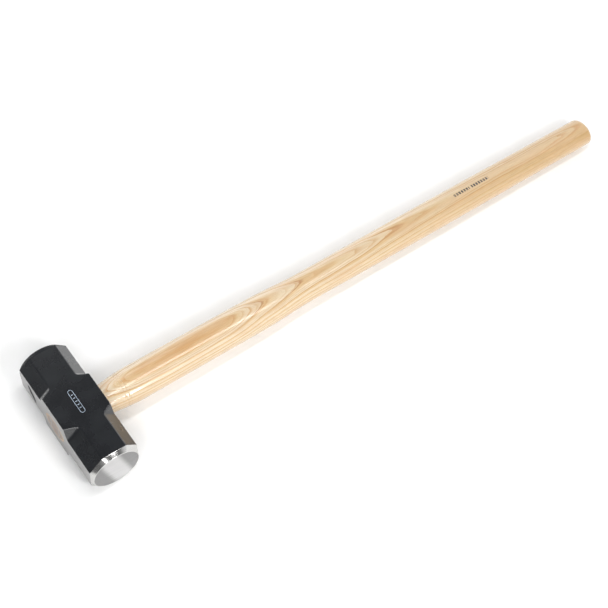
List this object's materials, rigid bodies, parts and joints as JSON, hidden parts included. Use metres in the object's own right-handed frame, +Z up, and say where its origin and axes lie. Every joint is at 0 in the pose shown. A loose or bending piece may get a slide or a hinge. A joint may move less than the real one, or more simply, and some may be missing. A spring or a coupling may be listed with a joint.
{
  "type": "sledgehammer",
  "caption": "Long-handled sledgehammer: a double-faced steel head with bevelled corners and a square eye block, wedged on an oval wooden handle.",
  "frame": {"origin": "middle of the lower cheek of the head, on the surface that the head lies on", "axes": "+X along the handle from the head to the grip, Y along the line of the blow, +Z up out of the upper cheek"},
  "size_m": [0.89, 0.1788, 0.064],
  "materials": {
    "painted_steel": "satin black paint on forged steel, ground bare on the striking faces, the front chamfer and the top strip",
    "lacquered_hickory": "clear glossy lacquer over straight pale grain",
    "wedge_wood": "raw end grain, ground flush and greyed",
    "wedge_steel": "bare steel, ground flush"
  },
  "bodies": {
    "root": {"head": "painted_steel", "handle": "lacquered_hickory", "wood_wedge": "wedge_wood", "steel_wedge_front": "wedge_steel", "steel_wedge_back": "wedge_steel"}
  },
  "joints": []
}
